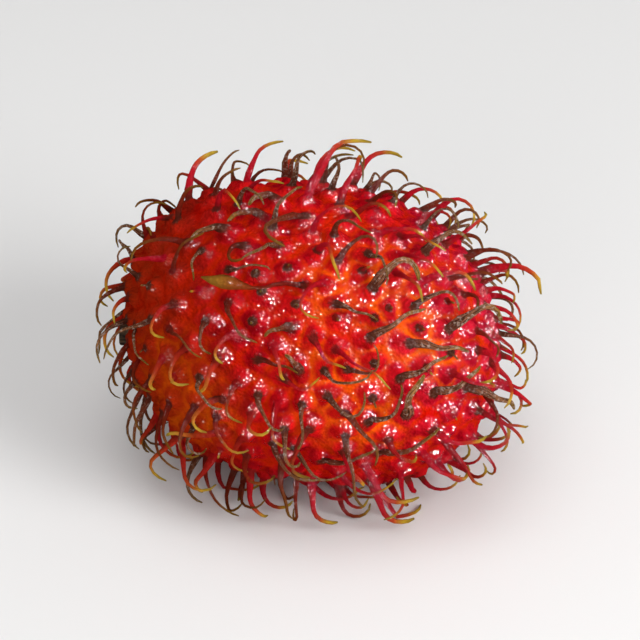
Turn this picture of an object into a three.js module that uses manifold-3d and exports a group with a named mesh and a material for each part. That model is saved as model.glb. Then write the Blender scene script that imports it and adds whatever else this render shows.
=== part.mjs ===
// A whole ripe rambutan, lying on its side on the small flat spot that its own weight presses.
// The rind and its soft hooked spines grow as one skin, so the fruit is one closed solid.
//
// Frame, in millimetres: the origin is the middle of the flat spot, +Z is up,
// and +X runs along the fruit from the stalk end to the blossom end.

import * as THREE from "three";
import { mergeVertices } from "three/addons/utils/BufferGeometryUtils.js";
import Module from "manifold-3d";

// The rind.
const HALF_LENGTH = 23.4;
const HALF_GIRTH = 19.0;
const SHOULDERS = 0.2; // how far it bulges beyond a plain ellipsoid between its waist and ends
const LOPSIDE = 0.13; // how much fuller it is at the top of the stalk end
const LOPSIDE_WAY = new THREE.Vector3(0, 0.57, 0.82);
const UNEVENNESS = 0.01; // gentle swellings, as a share of the radius
const CENTRE = new THREE.Vector3(-3.6, 0, 18.8); // of the fruit, from the middle of the flat spot
const RIND_DETAIL = 6; // subdivisions of the icosahedron's edges

// The stub of the stalk, where the fruit broke from its cluster.
const STUB_RADIUS = 1.5;
const STUB_STANDS_OUT = 1.1;
const STUB_ROOT = 2.5;
const STUB_SIDES = 8;

// The size and shape of the spines. A pair of numbers is the range that they vary in.
const SPINE_COUNT = 360;
const SPINE_LENGTH = 9.2;
const SPINE_RADIUS = 0.35; // above the flared foot
const SPINE_TAPER = 0.55; // share of the radius that is lost from foot to tip
const FOOT_FLARE = 1.2; // how much wider the foot is, as a share of the radius
const FLARE_SHARE = 0.5; // share of the length that the flare takes
const FLARE_FADE = 1.5;
const HUSK_SPINE = 34; // the chosen spine whose tip has swollen to a papery husk
const HUSK_GIRTH = 3.6; // how much wider the husk is, as a share of the radius
const HUSK_MIDDLE = 0.78; // where the husk lies, as a share of the length
const HUSK_REACH = 0.16;
const SIZES = [0.75, 1.25];
const GIRTHS = [0.8, 1.2];
const SHRIVELLING = 0.25; // share of the radius that a dried spine has lost
const LEANS = [0, 0.7]; // radians that a spine leans over by at its foot
const CURLS = [1.7, 3.3]; // and at its tip
const STRAIGHTS = [0.1, 0.5]; // share of the length that stays straight
const SWING = 1.2; // radians that the heading turns by, at most
const HOOKING = 1.2; // above 1, a spine bends more sharply towards its tip
const WOBBLE_ANGLE = 0.25;
const WOBBLE_TURNS = 12;
const CHOSEN_CURL = 1.9;
const CHOSEN_STRAIGHT = 0.033; // share that stays straight, for each millimetre of length

// How the spines differ over the fruit. A pair of numbers is where a change starts and ends.
const SWEEP = new THREE.Vector3(0.62, -0.1, -0.78); // the way that most tips hook over
const OWN_WAY = 0.6; // how much a heading of its own counts against the sweep
const PRESSED_OUT = 1.2; // how much spines under the fruit are pressed outwards
const UNDERSIDE = [0.35, 0.85];
const CURLY_END = [0.2, 0.9]; // spines at the stalk end lean over more and are shorter
const CURLY_LEAN = 0.4;
const BLOSSOM_END = [0.3, 0.8];
const SHORTER_ENDS = 0.2;
const STUMP_LENGTH = 1.6;
const STUMP_GIRTH = 0.75;
const STUMP_SHARE = 0.07; // share of the spines that have broken off
const BARE_SHARE = 0.55; // and how many more where the upper flank has been rubbed
const BARE_FLANK = new THREE.Vector3(0.25, -0.6, 0.76);
const BARE_EXTENT = [0.72, 0.95];
const FRESH_SHARE = 0.6; // how much less the spines low at the blossom end have dried
const FRESH_FLANK = new THREE.Vector3(0.6, -0.35, -0.72);
const FRESH_EXTENT = [0.4, 0.85];

// How the spines grow clear of the rind, the floor and each other.
const FOOT_DEPTH = 0.7; // how deep a spine is rooted in the rind
const ROOTED_SHARE = 0.2; // share of the length over which a spine leaves the rind
const BARE_RADIUS = 5.5; // no spine grows this close to the middle of the flat spot
const FLOOR_GAP = 0.1;
const SKIN_GAP = 0.45;
const SPINE_GAP = 0.35;
const NEIGHBOURHOOD = 24; // spines whose feet are further apart than this can't meet
const PATH_STEPS = 24;
const TRIES = 10; // habits that a spine may try before it takes the clearest one

// How finely each spine is cut.
const SPINE_SIDES = 3;
const SPINE_STEP = 3.1; // the longest step along a spine
const STEP_CROWDING = 0.8; // below 1, steps get shorter towards the tip

// How the feet of the spines share out the rind: each pushes off the ones within its reach.
const FOOT_REACH = 0.245;
const FOOT_PUSH = 0.48;
const FOOT_ROUNDS = 14;
const FOOT_JITTER = 0.2; // radians

// What varies from spine to spine: each trait draws its own number from 0 to 1.
const SLIDE = 1;
const TURN = 2;
const LENGTH = 3;
const GIRTH = 4;
const LEAN = 5;
const CURL = 6;
const HEADING = 7;
const TWIST = 8;
const STRAIGHT = 9;
const DRYNESS = 10;
const WOBBLE = 12;
const BREAK = 13;

// The spines that stand out. Each row holds: place along the fruit from -1 to 1, degrees round it
// from the top to the front, heading at the foot in degrees from +X to upwards, degrees that the
// heading swings by, lean at the foot in radians, length in millimetres, girth as a share of
// SPINE_RADIUS, and how far it has dried out, from 0 to 1.
const CHOSEN_SPINES = [
  [0.32, 38, 66, -150, 0.9, 9, 1.75, 1],
  [0.14, 28, 60, -170, 0.9, 9, 0.85, 0.6],
  [0.08, 36, 205, 150, 1.1, 8.5, 0.75, 0.3],
  [-0.02, 6, 215, 120, 1.2, 12, 1.1, 0.6],
  [-0.33, 20, 190, 200, 1.1, 5.5, 0.9, 0.5],
  [-0.67, 41, 205, 140, 1, 7, 0.9, 0.2],
  [-0.38, 56, 190, 130, 1.1, 5, 0.9, 0.1],
  [-0.62, 61, 225, 150, 1, 7.5, 0.9, 0],
  [-0.45, 83, 190, 150, 1, 7.5, 1.1, 0],
  [-0.47, 103, 170, 60, 1.1, 8, 1.2, 0],
  [-0.37, 74, 232, 110, 1.1, 6.5, 0.8, 0.4],
  [-0.17, 82, 250, 85, 1.1, 7, 0.8, 0.2],
  [0, 92, 228, 110, 1.1, 9, 1.1, 0.4],
  [-0.35, 101, 232, 110, 1.1, 6.5, 0.8, 0],
  [-0.28, 65, -5, -20, 1.2, 5.5, 0.8, 0.5],
  [-0.15, 71, -45, 110, 1.2, 5.5, 0.7, 0.1],
  [0.67, 54, 55, -120, 0.9, 9.5, 1.7, 1],
  [0.3, 57, 38, -20, 1.1, 8, 1.3, 0.9],
  [0.51, 45, 50, -125, 0.9, 8, 0.9, 0.8],
  [0.12, 44, -25, 10, 1.2, 5.5, 1, 0.9],
  [0.55, 34, 33, -85, 1, 8.5, 1.1, 0],
  [0.58, 17, 60, -90, 0.9, 8, 1.2, 0.8],
  [0.34, 13, 10, -45, 0.9, 7, 1, 0],
  [0.48, 59, -8, 0, 1.2, 8, 1.4, 0.9],
  [0.43, 73, 30, -10, 1.1, 7, 1.2, 0.9],
  [0.47, 89, 110, -80, 1.1, 8, 1.8, 1],
  [0.58, 81, 20, 15, 1.1, 7, 1.5, 1],
  [0.28, 90, 25, 80, 1.2, 8, 1, 0.8],
  [0.33, 106, 20, 25, 1.2, 9, 1.1, 0.7],
  [0.05, 110, 30, 5, 1.2, 8.5, 1, 0.7],
  [0.74, 83, -28, -20, 1.1, 9, 1.6, 0.8],
  [0.08, 78, -55, 170, 1.2, 8, 0.8, 0.8],
  [0.18, 68, -20, 160, 1.2, 7, 0.7, 0.7],
  [0.01, 56, -70, 60, 1.1, 6, 0.8, 0.1],
  [-0.03, 37, 188, -40, 1.3, 13.5, 0.8, 0.45],
  [-0.17, -4, 205, 30, 1, 4.5, 1.6, 0.7],
  [-0.24, 6, 190, 20, 1, 4.5, 1.6, 0.7],
  [-0.42, 11, 190, 20, 1, 4.5, 1.5, 0.8],
  [-0.09, 53, 178, 40, 1, 3.5, 1.5, 0.7],
  [-0.06, 69, 95, 60, 0.7, 3, 1.6, 0.7],
  [-0.02, -6, 50, -50, 0.75, 12.5, 1.4, 0],
  [0.22, -30, 60, -110, 0.5, 10, 1.3, 0],
  [-0.6, -26, 40, -30, 0.7, 8.5, 1.6, 0.2],
  [-0.95, 38, -90, 20, 0.5, 9, 0.9, 0.8],
  [-0.92, 20, -90, 0, 0.6, 5.5, 0.9, 0.3],
  [0.9, -12, -40, 0, 0.3, 11, 1.5, 0],
  [0.83, -15, 20, -70, 0.6, 9.5, 0.8, 0.6],
  [0.27, 112, -65, 75, 0.7, 10, 1.4, 0],
  [0.3, 126, -75, 60, 0.4, 10, 1.5, 0],
  [0, 125, -85, 60, 0.4, 9, 1.4, 0],
  [-0.66, 115, 215, 130, 0.5, 10, 1.1, 0.3],
  [-0.5, 121, 235, 60, 0.5, 8, 1.2, 0.1],
];

const GOLDEN_ANGLE = Math.PI * (3 - Math.sqrt(5));
const AT_MIDDLE = 1e-6;
const SAME_PLACE = 1e-4;
const UP = new THREE.Vector3(0, 0, 1);
const ALONG = new THREE.Vector3(1, 0, 0);
const STALK_END = new THREE.Vector3(-1, 0, 0);

const library = await Module();
library.setup();

// A number from 0 to 1 that is always the same for one spine, one trait and one try.
function draw(spine, trait, attempt = 0) {
  const wave = Math.sin(spine * 12.9898 + trait * 78.233 + attempt * 37.719) * 43758.5453;
  return wave - Math.floor(wave);
}

function between(low, high, share) {
  return low + (high - low) * share;
}

function smoothstep(value, low, high) {
  return THREE.MathUtils.smoothstep(value, low, high);
}

// The part of a vector that lies along the surface.
function alongSurface(vector, normal) {
  return vector.clone().addScaledVector(normal, -vector.dot(normal));
}

// The point of the rind that lies in a direction, where the plain sphere is stretched to the fruit.
function rindPoint(direction) {
  const { x, y, z } = direction;
  const shoulders = SHOULDERS * x * x * (1 - x * x);
  const lopside = LOPSIDE * x * LOPSIDE_WAY.dot(direction);
  const waves = Math.sin(3.1 * x + 2 * y + 0.4) + Math.sin(2.6 * z - 2.2 * x + 1.9);
  const size = 1 + shoulders - lopside + UNEVENNESS * waves;
  return new THREE.Vector3(HALF_LENGTH * x, HALF_GIRTH * y, HALF_GIRTH * z)
    .multiplyScalar(size)
    .add(CENTRE);
}

function rindNormal(direction) {
  const { x, y, z } = direction;
  return new THREE.Vector3(x / HALF_LENGTH, y / HALF_GIRTH, z / HALF_GIRTH).normalize();
}

// The direction of a point in space, as rindPoint takes it.
function directionOf(point) {
  const { x, y, z } = point.clone().sub(CENTRE);
  return new THREE.Vector3(x / HALF_LENGTH, y / HALF_GIRTH, z / HALF_GIRTH).normalize();
}

function aroundFruit(x, angle) {
  const across = Math.sqrt(1 - x * x);
  return new THREE.Vector3(x, -across * Math.sin(angle), across * Math.cos(angle));
}

// A foot after the others within its reach have pushed it off.
function pushedApart(foot, feet) {
  const moved = foot.clone();
  for (const other of feet) {
    const distance = foot.distanceTo(other);
    if (distance > 0 && distance < FOOT_REACH) {
      const force = (FOOT_PUSH * (FOOT_REACH - distance)) / distance;
      moved.addScaledVector(foot, force).addScaledVector(other, -force);
    }
  }
  return moved.normalize();
}

// The feet of the spines as directions: the chosen ones first, which stay put, then the stalk's
// place, and then the rest on a golden spiral, which push each other apart.
function shareOutFeet() {
  const feet = CHOSEN_SPINES.map(([x, degrees]) => aroundFruit(x, THREE.MathUtils.degToRad(degrees)));
  feet.push(STALK_END);
  const fixed = feet.length;
  for (let spine = fixed; spine < SPINE_COUNT; spine += 1) {
    const share = (spine - fixed + draw(spine, SLIDE)) / (SPINE_COUNT - fixed);
    const angle = spine * GOLDEN_ANGLE + between(-FOOT_JITTER, FOOT_JITTER, draw(spine, TURN));
    feet.push(aroundFruit(between(-1, 1, share), angle));
  }
  for (let round = 0; round < FOOT_ROUNDS; round += 1) {
    const moved = feet.map((foot) => pushedApart(foot, feet));
    feet.splice(fixed, Infinity, ...moved.slice(fixed));
  }
  return feet;
}

// The directions in the surface at a spine's foot: along the fruit, and up round it.
function surfaceAxes(normal) {
  const along = alongSurface(Math.abs(normal.x) > 0.95 ? UP : ALONG, normal).normalize();
  return [along, new THREE.Vector3().crossVectors(normal, along)];
}

// The level direction away from the middle of the fruit.
function outwards(normal) {
  return new THREE.Vector3(normal.x, normal.y, 0).normalize();
}

function chosenHabit(index, normal) {
  const [, , heading, swing, lean, length, girth] = CHOSEN_SPINES[index];
  const [along, up] = surfaceAxes(normal);
  const angle = THREE.MathUtils.degToRad(heading);
  return {
    over: along.multiplyScalar(Math.cos(angle)).addScaledVector(up, Math.sin(angle)),
    length,
    radius: SPINE_RADIUS * girth,
    lean,
    curl: CHOSEN_CURL,
    swing: THREE.MathUtils.degToRad(swing),
    straight: CHOSEN_STRAIGHT * length,
    wobble: angle,
    husk: index === HUSK_SPINE ? HUSK_GIRTH : 0,
  };
}

// A spine hooks over with the sweep of its neighbours and a heading of its own.
function drawnHabit(spine, attempt, normal) {
  const [along, up] = surfaceAxes(normal);
  const heading = between(0, 2 * Math.PI, draw(spine, HEADING, attempt));
  const curly = smoothstep(CURLY_LEAN * normal.z - normal.x, ...CURLY_END);
  const bareness = smoothstep(normal.dot(BARE_FLANK), ...BARE_EXTENT);
  const freshness = FRESH_SHARE * smoothstep(normal.dot(FRESH_FLANK), ...FRESH_EXTENT);
  const stunted = draw(spine, BREAK) < STUMP_SHARE + BARE_SHARE * bareness;
  const size = between(...SIZES, draw(spine, LENGTH, attempt));
  const shorter = SHORTER_ENDS * Math.max(curly, smoothstep(normal.x, ...BLOSSOM_END));
  const dryness = draw(spine, DRYNESS) * (1 - freshness);
  const girth = stunted ? STUMP_GIRTH : 1 - SHRIVELLING * dryness;
  const over = SWEEP.clone()
    .addScaledVector(along, OWN_WAY * Math.cos(heading))
    .addScaledVector(up, OWN_WAY * Math.sin(heading))
    .addScaledVector(outwards(normal), PRESSED_OUT * smoothstep(-normal.z, ...UNDERSIDE));
  return {
    over: alongSurface(over, normal).normalize(),
    length: stunted ? STUMP_LENGTH * size : SPINE_LENGTH * size * (1 - shorter),
    radius: SPINE_RADIUS * between(...GIRTHS, draw(spine, GIRTH)) * girth,
    lean: between(...LEANS, draw(spine, LEAN, attempt)) + CURLY_LEAN * curly,
    curl: between(...CURLS, draw(spine, CURL, attempt)),
    swing: between(-SWING, SWING, draw(spine, TWIST, attempt)),
    straight: between(...STRAIGHTS, draw(spine, STRAIGHT, attempt)),
    wobble: between(0, 2 * Math.PI, draw(spine, WOBBLE)),
    husk: 0,
  };
}

function spineRadius(habit, share) {
  const flare = FOOT_FLARE * Math.max(0, 1 - share / FLARE_SHARE) ** FLARE_FADE;
  const husk = habit.husk * Math.exp(-(((share - HUSK_MIDDLE) / HUSK_REACH) ** 2));
  return habit.radius * (1 - SPINE_TAPER * share + flare + husk);
}

// The middle line of a spine. It lies on the rind or on the floor where it meets them.
function spinePath(habit, direction, normal) {
  const points = [rindPoint(direction).addScaledVector(normal, -FOOT_DEPTH)];
  const stride = (habit.length + FOOT_DEPTH) / PATH_STEPS;
  for (let step = 1; step <= PATH_STEPS; step += 1) {
    const share = step / PATH_STEPS;
    const rooted = Math.min(1, share / ROOTED_SHARE);
    const hooked = (Math.max(0, share - habit.straight) / (1 - habit.straight)) ** HOOKING;
    const bend = between(habit.lean, habit.curl, hooked) * rooted;
    const wave = WOBBLE_ANGLE * Math.sin(WOBBLE_TURNS * share + habit.wobble);
    const over = habit.over.clone().applyAxisAngle(normal, habit.swing * hooked + wave);
    const point = points[step - 1].clone();
    point.addScaledVector(normal, Math.cos(bend) * stride);
    point.addScaledVector(over, Math.sin(bend) * stride);
    const radius = spineRadius(habit, share);
    if (rooted === 1) {
      liftOffRind(point, radius + SKIN_GAP);
    }
    point.z = Math.max(point.z, FLOOR_GAP + radius * rooted);
    points.push(point);
  }
  return points;
}

// Moves a point that is nearer to the rind than the clearance out to it.
function liftOffRind(point, clearance) {
  const below = directionOf(point);
  const height = point.distanceTo(CENTRE) - rindPoint(below).distanceTo(CENTRE);
  if (height < clearance) {
    point.addScaledVector(rindNormal(below), clearance - height);
  }
}

// The least room between a spine and those that have grown before it.
function roomRound(spine, others) {
  let room = Infinity;
  for (const other of others) {
    if (other.points[0].distanceTo(spine.points[0]) < NEIGHBOURHOOD) {
      room = Math.min(room, roomBetween(spine, other));
    }
  }
  return room;
}

function roomBetween(spine, other) {
  let room = Infinity;
  for (const [i, point] of spine.points.entries()) {
    for (const [j, place] of other.points.entries()) {
      room = Math.min(room, point.distanceTo(place) - spine.radii[i] - other.radii[j]);
    }
  }
  return room;
}

// The clearest of the habits that a spine tries.
function growSpine(index, direction, others) {
  const normal = rindNormal(direction);
  let best = null;
  for (let attempt = 0; attempt < TRIES && (!best || best.room < SPINE_GAP); attempt += 1) {
    const chosen = index < CHOSEN_SPINES.length;
    const habit = chosen ? chosenHabit(index, normal) : drawnHabit(index, attempt, normal);
    const points = spinePath(habit, direction, normal);
    const radii = points.map((_, step) => spineRadius(habit, step / PATH_STEPS));
    const spine = { habit, points, radii };
    spine.room = roomRound(spine, others);
    if (!best || spine.room > best.room) {
      best = spine;
    }
  }
  return best;
}

function growSpines() {
  const spines = [];
  for (const [index, direction] of shareOutFeet().entries()) {
    const foot = rindPoint(direction);
    const onFlat = foot.z < CENTRE.z && Math.hypot(foot.x, foot.y) < BARE_RADIUS;
    if (!onFlat && direction !== STALK_END) {
      spines.push(growSpine(index, direction, spines));
    }
  }
  return spines;
}

// A cone bent along a spine's middle line.
function spineGeometry({ habit, points }) {
  const path = new THREE.CatmullRomCurve3(points);
  const frames = path.computeFrenetFrames(PATH_STEPS);
  const steps = Math.ceil(habit.length / SPINE_STEP);
  const geometry = new THREE.ConeGeometry(1, 1, SPINE_SIDES, steps);
  const place = geometry.getAttribute("position");
  for (let i = 0; i < place.count; i += 1) {
    const share = Math.max(0, place.getY(i) + 0.5) ** STEP_CROWDING;
    const fromMiddle = Math.hypot(place.getX(i), place.getZ(i));
    const radius = fromMiddle > AT_MIDDLE ? spineRadius(habit, share) / fromMiddle : 0;
    const frame = Math.round(share * PATH_STEPS);
    const point = path.getPointAt(share);
    point.addScaledVector(frames.binormals[frame], radius * place.getX(i));
    point.addScaledVector(frames.normals[frame], radius * place.getZ(i));
    place.setXYZ(i, point.x, point.y, point.z);
  }
  return geometry;
}

function rindGeometry() {
  const geometry = new THREE.IcosahedronGeometry(1, RIND_DETAIL);
  const place = geometry.getAttribute("position");
  const direction = new THREE.Vector3();
  for (let i = 0; i < place.count; i += 1) {
    const point = rindPoint(direction.fromBufferAttribute(place, i).normalize());
    place.setXYZ(i, point.x, point.y, point.z);
  }
  return geometry;
}

function stubGeometry() {
  const length = STUB_STANDS_OUT + STUB_ROOT;
  const end = rindPoint(STALK_END);
  return new THREE.CylinderGeometry(STUB_RADIUS, STUB_RADIUS, length, STUB_SIDES)
    .rotateZ(Math.PI / 2)
    .translate(end.x + (STUB_ROOT - STUB_STANDS_OUT) / 2, end.y, end.z);
}

// Everything below the surface that the fruit lies on.
function groundGeometry() {
  const depth = HALF_GIRTH;
  const width = 4 * HALF_LENGTH;
  return new THREE.BoxGeometry(width, width, depth).translate(0, 0, -depth / 2);
}

function asSolid(geometry) {
  geometry.deleteAttribute("normal");
  geometry.deleteAttribute("uv");
  const merged = mergeVertices(geometry, SAME_PLACE);
  const vertProperties = merged.getAttribute("position").array;
  const triVerts = new Uint32Array(merged.index.array);
  return new library.Manifold(new library.Mesh({ numProp: 3, vertProperties, triVerts }));
}

function asGeometry(solid) {
  const mesh = solid.getMesh();
  const geometry = new THREE.BufferGeometry();
  geometry.setAttribute("position", new THREE.BufferAttribute(mesh.vertProperties, 3));
  geometry.setIndex(new THREE.BufferAttribute(mesh.triVerts, 1));
  return geometry;
}

function fruitSolid() {
  const smooth = asSolid(rindGeometry()).add(asSolid(stubGeometry()));
  const spines = growSpines().map((spine) => asSolid(spineGeometry(spine)));
  const spiny = spines.reduce((fruit, spine) => fruit.add(spine), smooth);
  return spiny.subtract(asSolid(groundGeometry()));
}

const skin = new THREE.MeshStandardMaterial({ color: 0xb0281a, roughness: 0.35, metalness: 0 });
const rambutan = new THREE.Mesh(asGeometry(fruitSolid()), skin);
rambutan.name = "rambutan";

const part = new THREE.Group();
part.add(rambutan);

export default part;
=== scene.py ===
# A ripe rambutan, lying on its side on a pale table top.
# The skin is one piece: a leathery red rind of low bumps, each of which grows out into a soft
# hooked spine. A short woody stub of the stalk stays at one end.

import math

import bmesh
import bpy
import numpy as np
from mathutils import Matrix, Vector, kdtree, noise


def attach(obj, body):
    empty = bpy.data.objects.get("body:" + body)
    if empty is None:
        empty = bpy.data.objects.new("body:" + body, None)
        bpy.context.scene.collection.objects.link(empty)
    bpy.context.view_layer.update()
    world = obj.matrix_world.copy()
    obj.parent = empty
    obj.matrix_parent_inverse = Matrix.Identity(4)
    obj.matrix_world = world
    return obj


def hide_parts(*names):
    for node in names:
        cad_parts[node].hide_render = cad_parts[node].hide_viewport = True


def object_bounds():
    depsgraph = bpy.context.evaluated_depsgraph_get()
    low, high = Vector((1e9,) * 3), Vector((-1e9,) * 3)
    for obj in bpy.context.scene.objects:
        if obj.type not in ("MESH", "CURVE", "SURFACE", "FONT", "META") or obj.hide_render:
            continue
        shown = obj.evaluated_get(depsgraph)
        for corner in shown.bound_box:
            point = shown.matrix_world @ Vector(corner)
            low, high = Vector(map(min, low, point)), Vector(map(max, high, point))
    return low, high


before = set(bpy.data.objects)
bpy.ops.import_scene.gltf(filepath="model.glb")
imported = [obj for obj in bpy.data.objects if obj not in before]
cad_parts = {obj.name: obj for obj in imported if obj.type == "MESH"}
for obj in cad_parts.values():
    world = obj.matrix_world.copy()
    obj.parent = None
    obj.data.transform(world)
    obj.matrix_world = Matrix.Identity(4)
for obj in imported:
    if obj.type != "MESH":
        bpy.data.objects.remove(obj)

cad_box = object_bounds()
box_low, box_high = (np.array(corner) for corner in cad_box)
MM = 0.001

# ---------------------------------------------------------------------------------------------
# The rind. A leathery skin about as large as a hen's egg, fuller at the shoulders than a plain
# ellipsoid. It grows in low bumps with soft valleys between them, one bump round the foot of
# each spine, and it is pressed a little flat where the fruit lies.

HALF_LENGTH = 23.4 * MM
HALF_GIRTH = 19.0 * MM
RADII = np.array((HALF_LENGTH, HALF_GIRTH, HALF_GIRTH))
CENTRE = np.array((-3.6, 0, 18.8)) * MM     # from the middle of the flat spot
STALK_END = np.array((-1.0, 0.0, 0.0))
SHOULDERS = 0.2               # how much fuller than an ellipsoid, as a share of the radius
LOPSIDE = 0.13                # the stalk end is fuller this way, and the blossom end less full
LOPSIDE_WAY = np.array((0, 0.57, 0.82))
UNEVENNESS = 0.01             # height of the slow waves, as a share of the radius

SPINE_COUNT = 360             # feet in all, of which one is the stalk's
FOOT_REACH = 0.245            # feet push each other apart while they are nearer than this,
FOOT_PUSH = 0.48              # by this share of what they are too near, each round
FOOT_ROUNDS = 14
FOOT_JITTER = 0.2             # radians that a foot is moved round the fruit by, at most
GOLDEN_ANGLE = math.pi * (3 - math.sqrt(5))

# What varies from spine to spine. Each trait draws a number of its own.
(
    SLIDE, TURN, LENGTH, GIRTH, LEAN, CURL, HEADING, TWIST, STRAIGHT, DRYNESS, TONE, WOBBLE, BREAK
) = range(1, 14)


def draw(spine, trait, attempt=0):
    """A number from 0 to 1 that is always the same for one spine, one trait and one try."""
    wave = math.sin(spine * 12.9898 + trait * 78.233 + attempt * 37.719) * 43758.5453
    return wave - math.floor(wave)


def between(low, high, share):
    return low + (high - low) * share


def unit(vector):
    return vector / np.linalg.norm(vector)


def smooth_step(value, low, high):
    share = min(1.0, max(0.0, (value - low) / (high - low)))
    return share * share * (3 - 2 * share)


def along_surface(vector, normal):
    """The part of a vector that lies along the surface."""
    return vector - normal * np.dot(vector, normal)


def rind_point(direction):
    """The point of the rind that lies in a direction, before its bumps. No two sides are alike."""
    x, y, z = direction
    shoulders = SHOULDERS * x * x * (1 - x * x)
    lopside = LOPSIDE * x * np.dot(LOPSIDE_WAY, direction)
    waves = math.sin(3.1 * x + 2 * y + 0.4) + math.sin(2.6 * z - 2.2 * x + 1.9)
    return RADII * direction * (1 + shoulders - lopside + UNEVENNESS * waves) + CENTRE


def rind_normal(direction):
    return unit(direction / RADII)


def direction_of(point):
    return unit((point - CENTRE) / RADII)


def around_fruit(x, angle):
    """The direction at a place along the fruit, and an angle round it from the top to the front."""
    across = math.sqrt(1 - x * x)
    return np.array((x, -across * math.sin(angle), across * math.cos(angle)))


# The spines that stand out. Each row holds: place along the fruit from -1 to 1, degrees round it
# from the top to the front, heading at the foot in degrees from +X to upwards, degrees that the
# heading swings by, lean at the foot in radians, length in millimetres, girth as a share of
# SPINE_RADIUS, and how far it has dried out, from 0 to 1.
CHOSEN_SPINES = (
    (0.32, 38, 66, -150, 0.9, 9, 1.75, 1.0),
    (0.14, 28, 60, -170, 0.9, 9, 0.85, 0.6),
    (0.08, 36, 205, 150, 1.1, 8.5, 0.75, 0.3),
    (-0.02, 6, 215, 120, 1.2, 12, 1.1, 0.6),
    (-0.33, 20, 190, 200, 1.1, 5.5, 0.9, 0.5),
    (-0.67, 41, 205, 140, 1.0, 7, 0.9, 0.2),
    (-0.38, 56, 190, 130, 1.1, 5, 0.9, 0.1),
    (-0.62, 61, 225, 150, 1.0, 7.5, 0.9, 0.0),
    (-0.45, 83, 190, 150, 1.0, 7.5, 1.1, 0.0),
    (-0.47, 103, 170, 60, 1.1, 8, 1.2, 0.0),
    (-0.37, 74, 232, 110, 1.1, 6.5, 0.8, 0.4),
    (-0.17, 82, 250, 85, 1.1, 7, 0.8, 0.2),
    (0.0, 92, 228, 110, 1.1, 9, 1.1, 0.4),
    (-0.35, 101, 232, 110, 1.1, 6.5, 0.8, 0.0),
    (-0.28, 65, -5, -20, 1.2, 5.5, 0.8, 0.5),
    (-0.15, 71, -45, 110, 1.2, 5.5, 0.7, 0.1),
    (0.67, 54, 55, -120, 0.9, 9.5, 1.7, 1.0),
    (0.3, 57, 38, -20, 1.1, 8, 1.3, 0.9),
    (0.51, 45, 50, -125, 0.9, 8, 0.9, 0.8),
    (0.12, 44, -25, 10, 1.2, 5.5, 1.0, 0.9),
    (0.55, 34, 33, -85, 1.0, 8.5, 1.1, 0.0),
    (0.58, 17, 60, -90, 0.9, 8, 1.2, 0.8),
    (0.34, 13, 10, -45, 0.9, 7, 1.0, 0.0),
    (0.48, 59, -8, 0, 1.2, 8, 1.4, 0.9),
    (0.43, 73, 30, -10, 1.1, 7, 1.2, 0.9),
    (0.47, 89, 110, -80, 1.1, 8, 1.8, 1.0),
    (0.58, 81, 20, 15, 1.1, 7, 1.5, 1.0),
    (0.28, 90, 25, 80, 1.2, 8, 1.0, 0.8),
    (0.33, 106, 20, 25, 1.2, 9, 1.1, 0.7),
    (0.05, 110, 30, 5, 1.2, 8.5, 1.0, 0.7),
    (0.74, 83, -28, -20, 1.1, 9, 1.6, 0.8),
    (0.08, 78, -55, 170, 1.2, 8, 0.8, 0.8),
    (0.18, 68, -20, 160, 1.2, 7, 0.7, 0.7),
    (0.01, 56, -70, 60, 1.1, 6, 0.8, 0.1),
    (-0.03, 37, 188, -40, 1.3, 13.5, 0.8, 0.45),
    (-0.17, -4, 205, 30, 1.0, 4.5, 1.6, 0.7),
    (-0.24, 6, 190, 20, 1.0, 4.5, 1.6, 0.7),
    (-0.42, 11, 190, 20, 1.0, 4.5, 1.5, 0.8),
    (-0.09, 53, 178, 40, 1.0, 3.5, 1.5, 0.7),
    (-0.06, 69, 95, 60, 0.7, 3, 1.6, 0.7),
    (-0.02, -6, 50, -50, 0.75, 12.5, 1.4, 0.0),
    (0.22, -30, 60, -110, 0.5, 10, 1.3, 0.0),
    (-0.6, -26, 40, -30, 0.7, 8.5, 1.6, 0.2),
    (-0.95, 38, -90, 20, 0.5, 9, 0.9, 0.8),
    (-0.92, 20, -90, 0, 0.6, 5.5, 0.9, 0.3),
    (0.9, -12, -40, 0, 0.3, 11, 1.5, 0.0),
    (0.83, -15, 20, -70, 0.6, 9.5, 0.8, 0.6),
    (0.27, 112, -65, 75, 0.7, 10, 1.4, 0.0),
    (0.3, 126, -75, 60, 0.4, 10, 1.5, 0.0),
    (0.0, 125, -85, 60, 0.4, 9, 1.4, 0.0),
    (-0.66, 115, 215, 130, 0.5, 10, 1.1, 0.3),
    (-0.5, 121, 235, 60, 0.5, 8, 1.2, 0.1),
)


def share_out_feet():
    """The directions of the feet. The chosen ones and the stalk's stay, and the rest push apart."""
    feet = [around_fruit(row[0], math.radians(row[1])) for row in CHOSEN_SPINES]
    feet.append(STALK_END)
    fixed = len(feet)
    for spine in range(fixed, SPINE_COUNT):
        share = (spine - fixed + draw(spine, SLIDE)) / (SPINE_COUNT - fixed)
        angle = spine * GOLDEN_ANGLE + between(-FOOT_JITTER, FOOT_JITTER, draw(spine, TURN))
        feet.append(around_fruit(between(-1, 1, share), angle))
    feet = np.array(feet)
    for _ in range(FOOT_ROUNDS):
        apart = feet[:, None] - feet[None]
        distance = np.linalg.norm(apart, axis=2)
        near = (distance > 0) & (distance < FOOT_REACH)
        force = np.where(near, FOOT_PUSH * (FOOT_REACH - distance) / np.where(near, distance, 1), 0)
        moved = feet + (apart * force[:, :, None]).sum(axis=1)
        moved /= np.linalg.norm(moved, axis=1)[:, None]
        feet[fixed:] = moved[fixed:]
    return feet


# ---------------------------------------------------------------------------------------------
# The spines. Soft, fleshy hairs that the rind grows out into, thick at the foot and drawn out to
# a hooked thread. The fresh ones are red with a yellow tip, and the others have dried to brown.

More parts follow.
